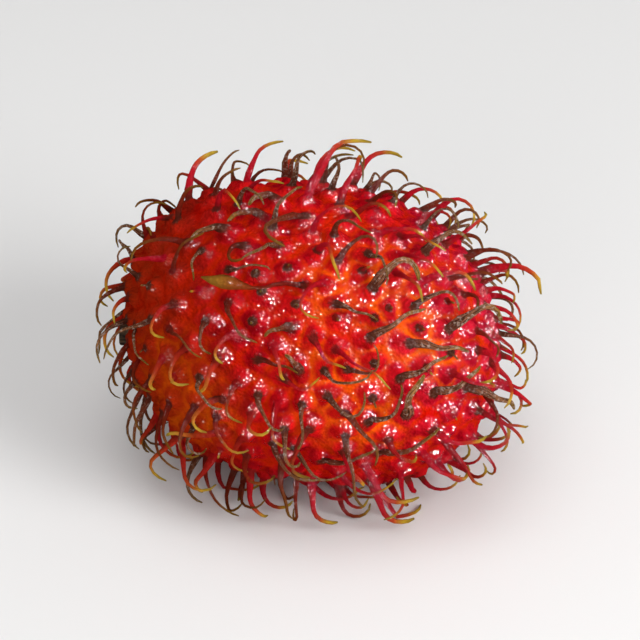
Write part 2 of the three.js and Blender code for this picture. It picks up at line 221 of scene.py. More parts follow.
SPINE_LENGTH = 9.2 * MM
SIZES = (0.75, 1.25)          # a spine's length as a share of that, from least to most
SPINE_RADIUS = 0.35 * MM
GIRTHS = (0.8, 1.2)           # and its radius
SPINE_TAPER = 0.55            # share of the radius that is lost from foot to tip
SHRIVELLING = 0.25            # share of the radius that a dried spine has lost
FOOT_FLARE = 1.2              # how much wider the foot is, as a share of the radius
FLARE_SHARE = 0.5             # share of the length that the flare takes
FLARE_FADE = 1.5              # above 1, the flare narrows most near the foot
HUSK_SPINE = 34               # the row of the chosen spine that has swollen to a papery husk
HUSK_GIRTH = 3.6              # how much wider the husk is, as a share of the radius
HUSK_MIDDLE = 0.78            # where the husk lies, as a share of the length
HUSK_REACH = 0.16             # and how far it reaches either way

LEANS = (0.0, 0.7)            # radians that a spine leans over by at its foot
CURLS = (1.7, 3.3)            # and at its tip
STRAIGHTS = (0.1, 0.5)        # share of the length that stays straight
SWING = 1.2                   # radians that the heading turns by, at most
HOOKING = 1.2                 # above 1, a spine bends more sharply towards its tip
WOBBLE_ANGLE = 0.25           # radians that a spine winds from side to side by
WOBBLE_TURNS = 12             # and how fast, in radians from foot to tip
CHOSEN_CURL = 1.9
CHOSEN_STRAIGHT = 0.033 / MM  # share that stays straight, for each unit of length
SWEEP = np.array((0.62, -0.1, -0.78))       # the way that most tips hook over
OWN_WAY = 0.6                 # how much a heading of its own counts against the sweep

# Where the spines differ. Each pair of limits is in how squarely the rind faces some way.
UNDERSIDE = (0.35, 0.85)
PRESSED_OUT = 1.2             # how much spines under the fruit are pressed outwards
CURLY_END = (0.2, 0.9)        # spines at the stalk end lean over more and hook back sooner
CURLY_LEAN = 0.4
BLOSSOM_END = (0.3, 0.8)
SHORTER_ENDS = 0.2            # share of the length that spines at the ends have lost
FRESH_FLANK = np.array((0.60, -0.35, -0.72))
FRESH_EXTENT = (0.4, 0.85)
FRESH_SHARE = 0.6             # how much less the spines low at the blossom end have dried
BARE_FLANK = np.array((0.25, -0.60, 0.76))
BARE_EXTENT = (0.72, 0.95)
BARE_SHARE = 0.55             # share that has broken off where the upper flank has been rubbed
STUMP_SHARE = 0.07            # and all over
STUMP_LENGTH = 1.6 * MM
STUMP_TOP = 2.1 * MM          # no stump is as long as this, and every whole spine is longer
STUMP_GIRTH = 0.75
STUMP_LEAN = 0.5              # how far a stump leans aside for each unit that it rises

FOOT_DEPTH = 0.7 * MM         # how deep in the rind a spine starts
ROOTED_SHARE = 0.2            # share of the length over which a spine leaves the rind
BARE_RADIUS = 5.5 * MM        # no foot is nearer than this to the middle of the flat spot
SQUEEZED_RADIUS = 7.8 * MM    # and no spine hooks in nearer than this, for want of room,
SQUEEZED_HEIGHT = 6 * MM      # from a foot that is lower than this
FLOOR_GAP = 0.1 * MM          # room that a spine keeps to the table, to the plain rind
SKIN_GAP = 0.45 * MM          # and, as well as it can in a number of tries, to other spines
SPINE_GAP = 0.35 * MM
TRIES = 10
NEIGHBOURHOOD = 24 * MM       # spines whose feet are further apart than this can't touch
PATH_STEPS = 24
PATH_SHARES = np.linspace(0, 1, PATH_STEPS + 1)
UP = np.array((0.0, 0.0, 1.0))
ALONG = np.array((1.0, 0.0, 0.0))
NEARLY_ALONG = 0.95           # a normal that lies along the fruit takes its axes from UP


def surface_axes(normal):
    """The directions in the surface at a spine's foot: along the fruit, and up round it."""
    along = unit(along_surface(UP if abs(normal[0]) > NEARLY_ALONG else ALONG, normal))
    return along, np.cross(normal, along)


def chosen_habit(index, normal):
    """How a chosen spine grows, from its row."""
    _, _, heading, swing, lean, length, girth, dryness = CHOSEN_SPINES[index]
    along, up = surface_axes(normal)
    angle = math.radians(heading)
    return dict(
        over=along * math.cos(angle) + up * math.sin(angle),
        length=length * MM,
        radius=SPINE_RADIUS * girth,
        lean=lean,
        curl=CHOSEN_CURL,
        swing=math.radians(swing),
        straight=CHOSEN_STRAIGHT * length * MM,
        wobble=angle,
        dryness=dryness,
        husk=HUSK_GIRTH if index == HUSK_SPINE else 0,
    )


def drawn_habit(spine, attempt, normal):
    """How any other spine grows: it hooks over with its neighbours, and in a way of its own."""
    along, up = surface_axes(normal)
    heading = between(0, 2 * math.pi, draw(spine, HEADING, attempt))
    lowness = smooth_step(-normal[2], *UNDERSIDE)
    curly = smooth_step(CURLY_LEAN * normal[2] - normal[0], *CURLY_END)
    bareness = smooth_step(np.dot(normal, BARE_FLANK), *BARE_EXTENT)
    freshness = FRESH_SHARE * smooth_step(np.dot(normal, FRESH_FLANK), *FRESH_EXTENT)
    stunted = draw(spine, BREAK) < STUMP_SHARE + BARE_SHARE * bareness
    size = between(*SIZES, draw(spine, LENGTH, attempt))
    shorter = SHORTER_ENDS * max(curly, smooth_step(normal[0], *BLOSSOM_END))
    dryness = draw(spine, DRYNESS) * (1 - freshness)
    girth = STUMP_GIRTH if stunted else 1 - SHRIVELLING * dryness
    own_way = OWN_WAY * (along * math.cos(heading) + up * math.sin(heading))
    outwards = PRESSED_OUT * lowness * unit(np.array((normal[0], normal[1], 0)))
    return dict(
        over=unit(along_surface(SWEEP + own_way + outwards, normal)),
        length=STUMP_LENGTH * size if stunted else SPINE_LENGTH * size * (1 - shorter),
        radius=SPINE_RADIUS * between(*GIRTHS, draw(spine, GIRTH)) * girth,
        lean=between(*LEANS, draw(spine, LEAN, attempt)) + CURLY_LEAN * curly,
        curl=between(*CURLS, draw(spine, CURL, attempt)),
        swing=between(-SWING, SWING, draw(spine, TWIST, attempt)),
        straight=between(*STRAIGHTS, draw(spine, STRAIGHT, attempt)),
        wobble=between(0, 2 * math.pi, draw(spine, WOBBLE)),
        dryness=dryness,
        husk=0,
    )


def spine_radius(habit, share):
    """The radius at a share of the length from foot to tip."""
    flare = FOOT_FLARE * np.maximum(0, 1 - share / FLARE_SHARE) ** FLARE_FADE
    husk = habit["husk"] * np.exp(-((share - HUSK_MIDDLE) / HUSK_REACH) ** 2)
    return habit["radius"] * (1 - SPINE_TAPER * share + flare + husk)


def turned(vector, axis, angle):
    """A vector that is square to an axis, turned about it."""
    return vector * math.cos(angle) + np.cross(axis, vector) * math.sin(angle)


def spine_path(habit, direction, normal):
    """The middle line of a spine. It lies on the rind or on the floor where it meets them."""
    points = [rind_point(direction) - normal * FOOT_DEPTH]
    stride = (habit["length"] + FOOT_DEPTH) / PATH_STEPS
    for step in range(1, PATH_STEPS + 1):
        share = step / PATH_STEPS
        rooted = min(1, share / ROOTED_SHARE)
        hooked = max(0, share - habit["straight"]) / (1 - habit["straight"])
        hooked = hooked ** HOOKING
        bend = between(habit["lean"], habit["curl"], hooked) * rooted
        wave = WOBBLE_ANGLE * math.sin(WOBBLE_TURNS * share + habit["wobble"])
        over = turned(habit["over"], normal, habit["swing"] * hooked + wave)
        point = points[-1] + (normal * math.cos(bend) + over * math.sin(bend)) * stride
        radius = spine_radius(habit, share)
        below = direction_of(point)
        height = np.linalg.norm(point - CENTRE) - np.linalg.norm(rind_point(below) - CENTRE)
        buried = (radius + SKIN_GAP) * rooted - height
        if rooted == 1 and buried > 0:
            point = point + rind_normal(below) * buried
        point[2] = max(point[2], FLOOR_GAP + radius * rooted)
        points.append(point)
    return np.array(points)


def room_round(path, radii, others):
    """The least room between a spine and those that have grown before it."""
    near = [each for each in others if np.linalg.norm(each["path"][0] - path[0]) < NEIGHBOURHOOD]
    if not near:
        return math.inf
    paths = np.concatenate([each["path"] for each in near])
    widths = np.concatenate([each["radii"] for each in near])
    distance = np.linalg.norm(path[:, None] - paths[None], axis=2)
    return (distance - radii[:, None] - widths[None]).min()


def grow_spines(feet):
    """One spine, or None where there is none, for each foot."""
    spines = []
    for index, direction in enumerate(feet):
        foot = rind_point(direction)
        on_flat = foot[2] < CENTRE[2] and math.hypot(foot[0], foot[1]) < BARE_RADIUS
        if on_flat or index == len(CHOSEN_SPINES):
            spines.append(None)
            continue
        normal = rind_normal(direction)
        grown = [spine for spine in spines if spine]
        best = None
        for attempt in range(TRIES):
            if best and best["room"] >= SPINE_GAP:
                break
            if index < len(CHOSEN_SPINES):
                habit = chosen_habit(index, normal)
            else:
                habit = drawn_habit(index, attempt, normal)
            path = spine_path(habit, direction, normal)
            radii = spine_radius(habit, PATH_SHARES)
            room = room_round(path, radii, grown)
            if best is None or room > best["room"]:
                best = dict(habit=habit, path=path, radii=radii, room=room, normal=normal)
        spines.append(best)
    return spines


def squeezed(path):
    """Whether a spine from low on the fruit hooks in where there is no room for it."""
    nearest = np.hypot(path[:, 0], path[:, 1]).min()
    return path[0][2] <= SQUEEZED_HEIGHT and nearest < SQUEEZED_RADIUS


feet = share_out_feet()
spines = [
    None if spine and squeezed(spine["path"]) else spine for spine in grow_spines(feet)
]

# ---------------------------------------------------------------------------------------------
# The skin. The rind and its spines grow as one, so they are one closed mesh: a ball with a corner
# at the foot of every spine, divided finely, from which the spines are drawn out ring by ring.

RIND_CUTS = 13                # cuts between neighbouring feet
EASE_RINGS = 6                # rings of the rind that make way for a foot
BUMP_HEIGHT = 0.75 * MM
BUMP_BASE = -0.4 * MM         # the bottom of the valleys, from the plain rind
BUMP_BREADTH = 1.3            # above 1, the bumps are broader than the valleys
FILLET_HEIGHT = 0.3 * MM      # the rind rises by this much more close to a spine
FILLET_START = 0.8 * MM
FILLET_WIDTH = 0.3 * MM
FOOT_HEIGHT = BUMP_BASE + BUMP_HEIGHT + FILLET_HEIGHT
LUMP_SIZE = 1.2 * MM
LUMP_HEIGHT = 0.35 * MM
CRUMPLE_SIZE = 0.6 * MM
CRUMPLE_HEIGHT = 0.2 * MM
SMOOTH_REACH = 1.5 * MM       # lumps and crumples fade out within this of a foot
BARE_DRYNESS = 0.5            # for the skin round a foot without a spine

SPINE_RINGS = 9
RING_CROWDING = 0.9           # below 1, the rings are closer together near the tip
UPRIGHT_RINGS = 2             # the first rings turn from the rind's normal to the spine's way
TANGENT_STEP = 0.04           # share of the length over which a spine's way is measured
FOOT_WIDTH = 0.7              # radius of the first ring, as a share of the spine's own
FOOT_MARGIN = 0.25 * MM       # and this much more
FOOT_SHARE = 1 / 6            # share of the climb in which that width is lost
TIP_WIDTH = 0.6               # radius of the last ring, as a share of the spine's own
TIP_POINT = 0.1 * MM          # how far the tip stands out from the last ring


def rings_round(vert, count):
    """The vertices round one, ring by ring."""
    seen = {vert}
    rings = [{vert}]
    for _ in range(count):
        ring = {edge.other_vert(v) for v in rings[-1] for edge in v.link_edges} - seen
        seen |= ring
        rings.append(ring)
    return rings


def foot_radius(spine):
    return spine["habit"]["radius"] * FOOT_WIDTH + FOOT_MARGIN


def bump_height(foot_distance, next_distance, has_spine):
    """How high the skin stands off the plain rind, from how far the two nearest feet are."""
    border = 2 * foot_distance / (foot_distance + next_distance)
    share = 0.5 + 0.5 * math.cos(math.pi * min(1.0, border ** BUMP_BREADTH))
    height = BUMP_BASE + BUMP_HEIGHT * share
    if has_spine:
        height += FILLET_HEIGHT * math.exp(-max(0, foot_distance - FILLET_START) / FILLET_WIDTH)
    return height


skin = bmesh.new()
# What the looks read at each vertex. The grain holds the way round the foot, and how far off the
# foot is in millimetres, which is below 0 on the rind and above 0 up a spine. The others run from
# 0 to 1: how far up a spine, how far down a valley, how dry the spine is, and a tone of its own.
grain = skin.verts.layers.float_vector.new("grain")
climb = skin.verts.layers.float.new("climb")
hollow = skin.verts.layers.float.new("hollow")
dryness = skin.verts.layers.float.new("dryness")
tone = skin.verts.layers.float.new("tone")
owner = skin.faces.layers.int.new("owner")       # 1 more than a spine's index, or 0

for direction in feet:
    skin.verts.new(direction)
bmesh.ops.convex_hull(skin, input=skin.verts)
bmesh.ops.subdivide_edges(skin, edges=skin.edges, cuts=RIND_CUTS, use_grid_fill=True)
bmesh.ops.recalc_face_normals(skin, faces=skin.faces)
skin.verts.ensure_lookup_table()
foot_verts = skin.verts[:len(feet)]

foot_points = [rind_point(direction) for direction in feet]
foot_axes = [surface_axes(rind_normal(direction)) for direction in feet]
foot_finder = kdtree.KDTree(len(feet))
for index, point in enumerate(foot_points):
    foot_finder.insert(point, index)
foot_finder.balance()

# The skin round each foot makes way for it, so that its innermost ring is as wide as the foot.
eased = {}
covered = []
for index, (vert, spine) in enumerate(zip(foot_verts, spines)):
    if spine is None:
        continue
    rings = rings_round(vert, EASE_RINGS)
    for ring in range(1, EASE_RINGS + 1):
        share = (ring - 1) / (EASE_RINGS - 1)
        for near in rings[ring]:
            plain = rind_point(unit(np.array(near.co)))
            apart = along_surface(plain - foot_points[index], spine["normal"])
            distance = np.linalg.norm(apart)
            own = distance * EASE_RINGS / ring
            wanted = between(foot_radius(spine), own, share)
            eased[near] = direction_of(foot_points[index] + apart * wanted / distance)
    for face in vert.link_faces:
        face[owner] = index + 1
        covered.append(face)

# Every vertex moves to its place on the bumps.
for vert in skin.verts:
    direction = eased.get(vert)
    if direction is None:
        direction = unit(np.array(vert.co))
    point = rind_point(direction)
    normal = rind_normal(direction)
    (_, index, near), (_, _, far) = foot_finder.find_n(point, 2)
    spine = spines[index]
    lump = LUMP_HEIGHT * noise.noise(Vector(point) / LUMP_SIZE)
    lump += CRUMPLE_HEIGHT * noise.noise(Vector(point) / CRUMPLE_SIZE)
    height = bump_height(near, far, spine is not None) + lump * min(1, near / SMOOTH_REACH)
    point = point + normal * height
    point[2] = max(point[2], 0)
    along, up = foot_axes[index]
    apart = point - foot_points[index]
    angle = math.atan2(np.dot(apart, up), np.dot(apart, along))
    vert[grain] = (math.cos(angle), math.sin(angle), -near / MM)
    vert[hollow] = min(1, 2 * near / (near + far))
    vert[dryness] = spine["habit"]["dryness"] if spine else BARE_DRYNESS
    vert[tone] = draw(index, TONE)
    vert.co = point

# The faces round each foot become one face that knows its spine, and the foot itself goes.
bmesh.ops.dissolve_faces(skin, faces=covered)
stray = [vert for vert in skin.verts if not vert.link_faces]
bmesh.ops.delete(skin, geom=stray, context="VERTS")
caps = [face for face in skin.faces if face[owner]]


def stump_path(habit, start, normal):
    """A broken spine goes straight up through its bump, and leans aside a little above it."""
    rise = np.linspace(0, habit["length"] + FOOT_DEPTH, PATH_STEPS + 1)[:, None]
    aside = STUMP_LEAN * np.maximum(0, rise - FOOT_DEPTH - FOOT_HEIGHT)
    return start + normal * rise + habit["over"] * aside


def path_point(path, share):
    return np.array([np.interp(share, PATH_SHARES, path[:, axis]) for axis in range(3)])


def inside_box(centre, room):
    """A ring's centre, moved so that the ring stays inside the box of the whole fruit."""
    x, y = np.clip(centre[:2], box_low[:2] + room, box_high[:2] - room)
    return np.array((x, y, min(centre[2], box_high[2] - room)))


def spine_rings(spine):
    """The centre, radius, axes and share of the climb of each ring, from the foot to the tip."""
    habit, path, normal = spine["habit"], spine["path"], spine["normal"]
    if habit["length"] < STUMP_TOP:
        path = stump_path(habit, path[0], normal)
    start = (FOOT_DEPTH + FOOT_HEIGHT) / (habit["length"] + FOOT_DEPTH)
    side, _ = surface_axes(normal)
    rings = []
    for ring in range(SPINE_RINGS + 1):
        climbed = (ring / SPINE_RINGS) ** RING_CROWDING
        share = between(start, 1, climbed)
        way = unit(path_point(path, share + TANGENT_STEP) - path_point(path, share - TANGENT_STEP))
        tangent = unit(between(way, normal, max(0, 1 - ring / UPRIGHT_RINGS)))
        side = unit(along_surface(side, tangent))
        radius = spine_radius(habit, share)
        radius += (foot_radius(spine) - radius) * max(0, 1 - climbed / FOOT_SHARE) ** 2
        radius *= TIP_WIDTH if ring == SPINE_RINGS else 1
        centre = inside_box(path_point(path, share), radius + TIP_POINT)
        rings.append((centre, radius, side, np.cross(tangent, side), climbed))
    return rings


# The faces are drawn out into spines, all together and one ring at a time.
rings_of = {index: spine_rings(spine) for index, spine in enumerate(spines) if spine}
for ring in range(SPINE_RINGS + 1):
    if ring > 0:
        caps = bmesh.ops.extrude_discrete_faces(skin, faces=caps)["faces"]
    for cap in caps:
        index = cap[owner] - 1
        habit = spines[index]["habit"]
        centre, radius, side, across, climbed = rings_of[index][ring]
        for vert in cap.verts:
            turn = vert[grain]
            vert.co = centre + radius * (side * turn[0] + across * turn[1])
            vert.co.z = max(vert.co.z, 0)
            vert[grain] = (turn[0], turn[1], climbed * habit["length"] / MM)
            vert[climb] = climbed
            vert[hollow] = 0
            vert[dryness] = habit["dryness"]
            vert[tone] = draw(index, TONE)
bmesh.ops.poke(skin, faces=caps, offset=TIP_POINT)

for face in skin.faces:
    face.smooth = True
skin_mesh = bpy.data.meshes.new("skin")
skin.to_mesh(skin_mesh)
skin.free()
fruit_skin = bpy.data.objects.new("fruit_skin", skin_mesh)
bpy.context.scene.collection.objects.link(fruit_skin)
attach(fruit_skin, "root")
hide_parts("rambutan")


# The looks of the skin. Colours are linear red, green and blue, and a stop of a ramp has its
# place before its colour. A pair of limits says where a thing begins to show, and where it shows
# in full. A noise is given by its scale and its detail.

# The rind: red bumps that are warmer on the flank and pink at the blossom end, and valleys, with
# painted shade that darkens the stalk end.
BUMP_RED = ((0.35, 0.30, 0.001, 0.006), (0.62, 0.70, 0.008, 0.010))
BUMP_PINK = ((0.35, 0.34, 0.002, 0.012), (0.62, 0.70, 0.014, 0.040))
BUMP_SCARLET = (0.72, 0.012, 0.003, 1)
BUMP_ORANGE = (0.62, 0.05, 0.004, 1)
VALLEY_RED = (0.50, 0.004, 0.001, 1)
VALLEY_ORANGE = (0.88, 0.115, 0.003, 1)
VALLEY_LIMITS = (1.1, 1.55)   # in how far down a valley, with the blotches added
VALLEY_RAGGEDNESS = 0.9
BLOTCHES = (420, 3)
WARM_PATCHES = (90, 2)
WARM_PATCH_LIMITS = (0.3, 0.6)
WARM_FLANK = (5.0 * MM, -15.5 * MM, 27.5 * MM)
WARM_LIMITS = (17.5 * MM, 7.0 * MM)             # away from the warm flank
WARMTHS = (0.1, 1.1)          # everywhere, and on the warm flank
WARM_LOW_FLANK = (-20.5 * MM, -12.5 * MM, 18.0 * MM)
WARM_LOW_LIMITS = (13.0 * MM, 4.0 * MM)
SCARLET_SHARE = 0.45          # how much the warmth turns the bumps scarlet
ORANGE_SHARE = 0.7            # and on the low flank orange
BROWN_END = (-12.0 * MM, -27.0 * MM)            # along the fruit, towards the stalk
BROWN_SHARE = 0.6
PINK_END = (0.5 * MM, 18.5 * MM)                # along the fruit, towards the blossom end
PINK_RISE = (10.0 * MM, 22.0 * MM)              # above the table
PINK_LOW_SHARE = 0.2
# Painted shade: the rind darkens towards the stalk end, the side away from the key light.
PAINTED_SHADE_END = (-29.5 * MM, -3.5 * MM)              # from the darkest to full brightness
PAINTED_SHADE_AT_END = 0.5
# Painted shade: rind and spines darken towards the table, under the fruit.
PAINTED_SHADE_RISE = (3.0 * MM, 18.0 * MM)
PAINTED_SHADE_LOW = 0.72

# The spines, from foot to tip: fresh ones, which are more orange low at the stalk end, wilted
# ones, and dried ones with light and dark streaks and pale specks, partly crust and partly painted
# glints.
FRESH = (
    (0.0, 0.42, 0.004, 0.012), (0.45, 0.56, 0.012, 0.022), (0.66, 0.58, 0.06, 0.02),
    (0.82, 0.70, 0.42, 0.035), (1.0, 0.40, 0.28, 0.03),
)
ORANGE_FRESH = (
    (0.0, 0.34, 0.008, 0.006), (0.35, 0.46, 0.045, 0.012), (0.6, 0.62, 0.19, 0.028),
    (0.8, 0.72, 0.44, 0.045), (1.0, 0.42, 0.28, 0.035),
)
ORANGE_FRESH_END = (-1.5 * MM, -17.5 * MM)
ORANGE_FRESH_TOP = (34.0 * MM, 24.0 * MM)
ORANGE_FRESH_RISE = (4.0 * MM, 15.0 * MM)
ORANGE_FRESH_LOW_SHARE = 0.15
WILTED = (
    (0.0, 0.17, 0.008, 0.005), (0.4, 0.18, 0.022, 0.007), (0.7, 0.21, 0.060, 0.010),
    (1.0, 0.26, 0.125, 0.018),
)
DRIED = (
    (0.0, 0.08, 0.024, 0.013), (0.2, 0.13, 0.046, 0.023), (0.6, 0.20, 0.085, 0.034),
    (0.85, 0.19, 0.10, 0.022), (1.0, 0.19, 0.12, 0.020),
)
WILTED_LIMITS = (0.25, 0.5)   # in how dry a spine is
DRIED_LIMITS = (0.5, 0.85)
SPINE_LIMITS = (0.55, 0.2)    # in millimetres away from the foot
STREAK_STRETCH = (2.5, 2.5, 0.3)
STREAKS = (2.0, 3)
STREAK_LIMITS = (0.38, 0.62)
STREAK_SHADES = (0.35, 2.1)
PALE_CRUST_AND_GLINT = (0.46, 0.34, 0.27, 1)
CRUST_AND_GLINT_SPECKS = (2600, 2)
CRUST_AND_GLINT_LIMITS = (0.52, 0.68)
CRUST_AND_GLINT_SHARE = 0.75

# The dark root of a spine: partly dried tissue, and partly painted shadow where the spine meets the
# rind.
ROOT_BROWN_AND_SHADOW = (0.075, 0.018, 0.010, 1)
ROOT_STRETCH = (3.0, 3.0, 0.4)
ROOT_FRAYS = (1.5, 2)
ROOT_RAGGEDNESS = 1.2
ROOT_LIMITS = (0.25, -0.25)   # in millimetres away from the foot, less the frays
ROOT_CLIMB = (0.18, 0.02)     # in how far up a spine
ROOT_AGE = (0.5, 0.8)         # in how dry a spine is, or in its tone where that is more
ROOT_SHARE = 0.82

# The relief and the juice.
WRINKLE_STRETCH = (3.0, 3.0, 0.5)
WRINKLES = (2.0, 1)
WRINKLE_LIMITS = (1.5, 0.7)   # in millimetres away from the foot
GRAIN_SCALE = 2000            # two small lumps to a millimetre
GRAIN_HEIGHT = 0.25 * MM
JUICE_PATCHES = (260, 1)
JUICE_PATCH_LIMITS = (0.38, 0.55)
JUICE_LEAST = 0.2             # share of the juice that is left between the patches,
JUICE_IN_VALLEYS = 0.25       # in the valleys,
JUICE_VALLEY_LIMITS = (0.95, 0.6)
JUICE_AT_STALK = 0.4          # at the stalk end,
JUICE_STALK_LIMITS = (-24.0 * MM, -6.0 * MM)
JUICE_ON_SPINES = 0.3         # on the spines,
JUICE_WHERE_DRY = 0.25        # and where they are dry or have a dark root
JUICE_ROUGHNESS = 0.04
JUICE_IOR = 1.8
ROUGHNESSES = (0.38, 0.6)     # of wet skin and of dry


def add_node(tree, kind, sockets=None, **settings):
    """A shader node with its settings, and the values or links of its sockets."""
    node = tree.nodes.new(kind)
    for name, value in settings.items():
        setattr(node, name, value)
    for name, value in (sockets or {}).items():
        if isinstance(value, bpy.types.NodeSocket):
            tree.links.new(value, node.inputs[name])
        else:
            node.inputs[name].default_value = value
    return node


def ramp(tree, factor, stops):
    """A colour that runs through stops of (place, red, green, blue)."""
    node = add_node(tree, "ShaderNodeValToRGB", {"Fac": factor})
    elements = node.color_ramp.elements
    for index, (place, *colour) in enumerate(stops):
        element = elements[index] if index < 2 else elements.new(place)
        element.position = place
        element.color = (*colour, 1)
    return node.outputs["Color"]


def blend_colours(tree, factor, first, second, kind="MIX"):
    """The first colour at a factor of 0, and the second at 1."""
    sockets = {0: factor, 6: first, 7: second}
    return add_node(tree, "ShaderNodeMix", sockets, data_type="RGBA", blend_type=kind).outputs[2]


def shaded(tree, colour, shade):
    return blend_colours(tree, 1.0, colour, shade, "MULTIPLY")


def spread(tree, value, limits, low_to=0.0, high_to=1.0):
    """A value that runs smoothly from low_to to high_to as another runs between limits."""
    sockets = {
        "Value": value, "From Min": limits[0], "From Max": limits[1],
        "To Min": low_to, "To Max": high_to,
    }
    node = add_node(tree, "ShaderNodeMapRange", sockets, interpolation_type="SMOOTHSTEP")
    return node.outputs["Result"]


def calculate(tree, operation, *values):
    sockets = dict(enumerate(values))
    return add_node(tree, "ShaderNodeMath", sockets, operation=operation).outputs[0]


def product(tree, first, *others):
    for other in others:
        first = calculate(tree, "MULTIPLY", first, other)
    return first


def attribute(tree, name, output="Fac"):
    return add_node(tree, "ShaderNodeAttribute", attribute_name=name).outputs[output]


def noise_value(tree, vector, scale, detail):
    sockets = {"Vector": vector, "Scale": scale, "Detail": detail}
    return add_node(tree, "ShaderNodeTexNoise", sockets).outputs["Fac"]


def stretched(tree, vector, scale):
    return add_node(tree, "ShaderNodeMapping", {"Vector": vector, "Scale": scale}).outputs["Vector"]


def split(tree, vector):
    return add_node(tree, "ShaderNodeSeparateXYZ", {"Vector": vector}).outputs


def distance_from(tree, place, middle):
    sockets = {0: place, 1: middle}
    return add_node(tree, "ShaderNodeVectorMath", sockets, operation="DISTANCE").outputs["Value"]


def rind_colour(tree, place, hollow):
    """Crimson bumps over warmer valleys. The flanks are orange and the blossom end is pink. Painted
    shade darkens the stalk end.
    """
    along, _, rise = split(tree, place)
    blotch = noise_value(tree, place, *BLOTCHES)
    low_warmth = spread(tree, distance_from(tree, place, WARM_LOW_FLANK), WARM_LOW_LIMITS)
    warmth = spread(tree, distance_from(tree, place, WARM_FLANK), WARM_LIMITS, *WARMTHS)
    warmth = calculate(tree, "MAXIMUM", warmth, low_warmth)
    patches = noise_value(tree, place, *WARM_PATCHES)
    warmth = product(tree, warmth, spread(tree, patches, WARM_PATCH_LIMITS))

    bump = ramp(tree, blotch, BUMP_RED)
    bump = blend_colours(tree, product(tree, warmth, SCARLET_SHARE), bump, BUMP_SCARLET)
    brown = spread(tree, along, BROWN_END, 0.0, BROWN_SHARE)
    orange = calculate(tree, "MAXIMUM", product(tree, low_warmth, ORANGE_SHARE), brown)
    bump = blend_colours(tree, orange, bump, BUMP_ORANGE)
    pink = product(
        tree, spread(tree, along, PINK_END), spread(tree, rise, PINK_RISE, PINK_LOW_SHARE)
    )
    bump = blend_colours(tree, pink, bump, ramp(tree, blotch, BUMP_PINK))

    valley = blend_colours(tree, warmth, VALLEY_RED, VALLEY_ORANGE)
    ragged = calculate(tree, "MULTIPLY_ADD", blotch, VALLEY_RAGGEDNESS, hollow)
    colour = blend_colours(tree, spread(tree, ragged, VALLEY_LIMITS), bump, valley)
    # Painted shade: darker towards the stalk end.
    return shaded(tree, colour, spread(tree, along, PAINTED_SHADE_END, PAINTED_SHADE_AT_END))


def spine_colour(tree, place, grain, climb, dryness, dried):
    """Crimson to yellow when fresh, maroon to olive when wilted, and streaky brown when dry, with
    pale specks that are partly crust and partly painted glints.
    """
    along, _, rise = split(tree, place)
    low_at_stalk = product(
        tree, spread(tree, along, ORANGE_FRESH_END), spread(tree, rise, ORANGE_FRESH_TOP),
        spread(tree, rise, ORANGE_FRESH_RISE, ORANGE_FRESH_LOW_SHARE),
    )
    orange_fresh = ramp(tree, climb, ORANGE_FRESH)
    fresh = blend_colours(tree, low_at_stalk, ramp(tree, climb, FRESH), orange_fresh)
    wilted = ramp(tree, climb, WILTED)
    streaks = noise_value(tree, stretched(tree, grain, STREAK_STRETCH), *STREAKS)
    brown = ramp(tree, climb, DRIED)
    brown = shaded(tree, brown, spread(tree, streaks, STREAK_LIMITS, *STREAK_SHADES))
    # Pale specks on dried spines: partly crust, partly painted glints.
    specks = noise_value(tree, place, *CRUST_AND_GLINT_SPECKS)
    brown = blend_colours(tree, spread(tree, specks, CRUST_AND_GLINT_LIMITS, 0.0, CRUST_AND_GLINT_SHARE), brown, PALE_CRUST_AND_GLINT)
    colour = blend_colours(tree, spread(tree, dryness, WILTED_LIMITS), fresh, wilted)
    return blend_colours(tree, dried, colour, brown)


def dried_and_shaded_root(tree, grain, from_foot, climb, dryness, tone):
    """Where a dark and ragged ring shows, partly dried tissue and partly painted shadow. Most
    spines have one at the root.
    """
    frays = noise_value(tree, stretched(tree, grain, ROOT_STRETCH), *ROOT_FRAYS)
    frayed = calculate(tree, "MULTIPLY_ADD", frays, -ROOT_RAGGEDNESS, from_foot)
    age = calculate(tree, "MAXIMUM", tone, dryness)
    return product(
        tree, spread(tree, frayed, ROOT_LIMITS), spread(tree, climb, ROOT_CLIMB),
        spread(tree, age, ROOT_AGE, 0.0, ROOT_SHARE),
    )


def fine_relief(tree, place, grain, from_foot):
    """Small lumps all over, and fine wrinkles that run out from each foot and up each spine."""
    lumps = add_node(tree, "ShaderNodeTexVoronoi", {"Vector": place, "Scale": GRAIN_SCALE})
    wrinkles = noise_value(tree, stretched(tree, grain, WRINKLE_STRETCH), *WRINKLES)
    wrinkles = product(tree, wrinkles, spread(tree, from_foot, WRINKLE_LIMITS))
    height = calculate(tree, "ADD", wrinkles, lumps.outputs["Distance"])
    sockets = {"Height": height, "Strength": 1.0, "Distance": GRAIN_HEIGHT}
    return add_node(tree, "ShaderNodeBump", sockets).outputs["Normal"]


def juice_cover(tree, place, hollow, on_spine, dull):
    """How wet the skin is. Juice lies on the bumps in patches, and there is less elsewhere."""
    patches = noise_value(tree, place, *JUICE_PATCHES)
    on_rind = product(
        tree, spread(tree, patches, JUICE_PATCH_LIMITS, JUICE_LEAST),
        spread(tree, hollow, JUICE_VALLEY_LIMITS, JUICE_IN_VALLEYS),
        spread(tree, split(tree, place)["X"], JUICE_STALK_LIMITS, JUICE_AT_STALK),
        spread(tree, on_spine, (0, 1), 1.0, JUICE_ON_SPINES),
    )
    return product(tree, spread(tree, dull, (0, 1), 1.0, JUICE_WHERE_DRY), on_rind)


